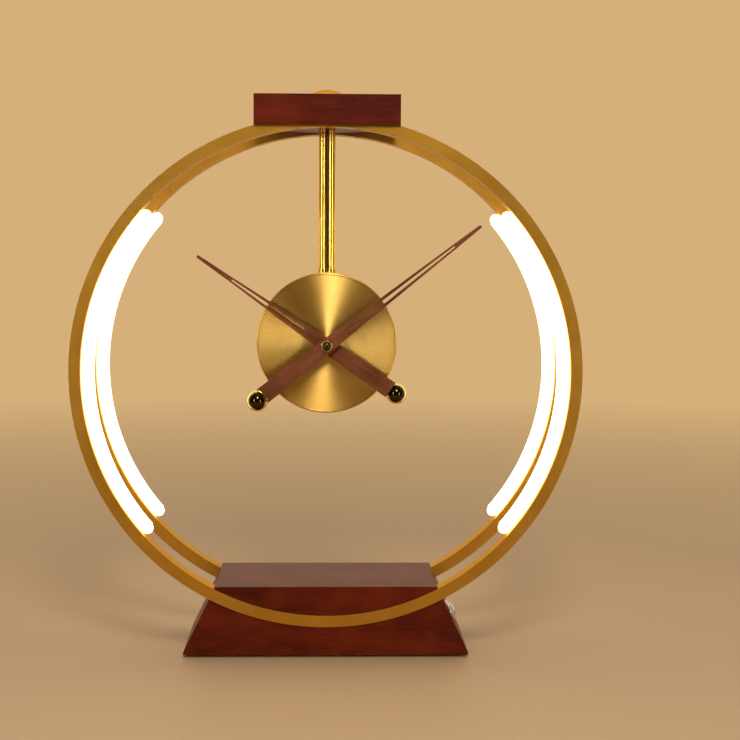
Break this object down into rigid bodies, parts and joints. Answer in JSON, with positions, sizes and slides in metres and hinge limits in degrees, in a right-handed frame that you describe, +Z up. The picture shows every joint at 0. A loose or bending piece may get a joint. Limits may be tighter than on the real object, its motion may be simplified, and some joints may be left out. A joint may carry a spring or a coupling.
{
  "type": "twin-ring lamp clock",
  "caption": "Table lamp clock: twin lit metal rings on a wooden charging base, with a round brushed clock drum and slim wooden hands hung from a wooden top block.",
  "frame": {"origin": "centre of the footprint on the table, under the middle of the base", "axes": "+X to the right seen from the front, the dial faces -Y, +Z up"},
  "size_m": [0.3999, 0.106, 0.4485],
  "materials": {
    "wood": "satin red-brown lacquer over fine grain",
    "hand_walnut": "open-pored walnut, oiled",
    "ring_gold": "gold anodised, fine brushed",
    "drum_gold": "gold anodised, radially brushed",
    "rod_brass": "polished",
    "polished_gold": "mirror polished",
    "plated_gold": "mirror gold plating over a light moulded ball",
    "lit_diffuser": "milky silicone, lit from inside",
    "strip_white": "white flexible strip",
    "chrome": "satin",
    "steel": "bright zinc",
    "rubber": "matte",
    "black_plastic": "fine moulded texture",
    "white_plastic": "matte",
    "copper": "enamelled wire",
    "ferrite": "matte",
    "board_green": "solder resist",
    "dark_parts": "satin",
    "battery_sleeve": "gloss sleeve"
  },
  "bodies": {
    "frame": {"base_body": "wood", "top_block": "wood", "base_cover": "black_plastic", "cover_screws": "steel", "rubber_feet": "rubber", "coil_tray": "white_plastic", "charger_coil": "copper", "charger_ferrite": "ferrite", "charger_board": "board_green", "driver_board": "board_green", "board_parts": "dark_parts", "small_screws": "steel", "dc_inlet": "black_plastic", "dc_inlet_pin": "steel", "dc_inlet_nut": "steel", "switch_bezel": "chrome", "switch_nut": "steel", "switch_base": "black_plastic", "front_ring": "ring_gold", "rear_ring": "ring_gold", "ring_screws": "steel", "block_screws": "steel", "front_left_led_tube": "lit_diffuser", "front_right_led_tube": "lit_diffuser", "rear_left_led_tube": "lit_diffuser", "rear_right_led_tube": "lit_diffuser", "led_end_plugs": "lit_diffuser", "led_strips": "strip_white", "hanger_cap": "ring_gold", "hanger_plate": "steel", "hanger_rods": "rod_brass", "rod_collar": "rod_brass", "rod_anchor": "steel", "rod_screws": "steel", "drum_shell": "drum_gold", "dial_plate": "drum_gold", "drum_rear_cover": "drum_gold", "rear_cover_screws": "steel", "movement_case": "black_plastic", "movement_back": "black_plastic", "movement_gasket": "rubber", "movement_plate": "white_plastic", "fixing_nut": "rod_brass", "battery": "battery_sleeve", "battery_contacts": "steel", "step_coil": "copper", "stator": "steel", "circuit_board": "board_green"},
    "minute": {"minute_arbor": "rod_brass", "minute_hand": "hand_walnut", "minute_bush": "rod_brass", "minute_ball": "plated_gold", "hub_nut": "polished_gold"},
    "hour": {"hour_wheel": "rod_brass", "hour_hand": "hand_walnut", "hour_bush": "rod_brass", "hour_ball": "plated_gold"},
    "minute_wheel": {"minute_wheel": "rod_brass"},
    "setting_knob": {"setting_knob": "black_plastic"},
    "switch_button": {"switch_button": "chrome"}
  },
  "joints": [
    {"name": "minute_turn", "type": "hinge", "parent": "frame", "child": "minute", "pos_m": [0, -0.02, 0.2447], "axis": [0, 1, 0], "continuous": true},
    {"name": "hour_turn", "type": "hinge", "parent": "frame", "child": "hour", "pos_m": [0, -0.02, 0.2447], "axis": [0, 1, 0], "continuous": true},
    {"name": "minute_wheel_turn", "type": "hinge", "parent": "frame", "child": "minute_wheel", "pos_m": [0.012, -0.006, 0.2447], "axis": [0, 1, 0], "continuous": true},
    {"name": "setting_knob_turn", "type": "hinge", "parent": "frame", "child": "setting_knob", "pos_m": [0.012, 0, 0.2582], "axis": [0, 1, 0], "continuous": true},
    {"name": "switch_press", "type": "slide", "parent": "frame", "child": "switch_button", "axis": [-0.9012, 0, -0.4334], "range_m": [0, 0.001], "stiffness_N_per_m": 1000, "springref_m": -0.0008}
  ],
  "couplings": [
    {"joint": "hour_turn", "follows": "minute_turn", "ratio": 0.083333},
    {"joint": "minute_wheel_turn", "follows": "minute_turn", "ratio": -0.33333},
    {"joint": "setting_knob_turn", "follows": "minute_turn", "ratio": 0.66667}
  ]
}
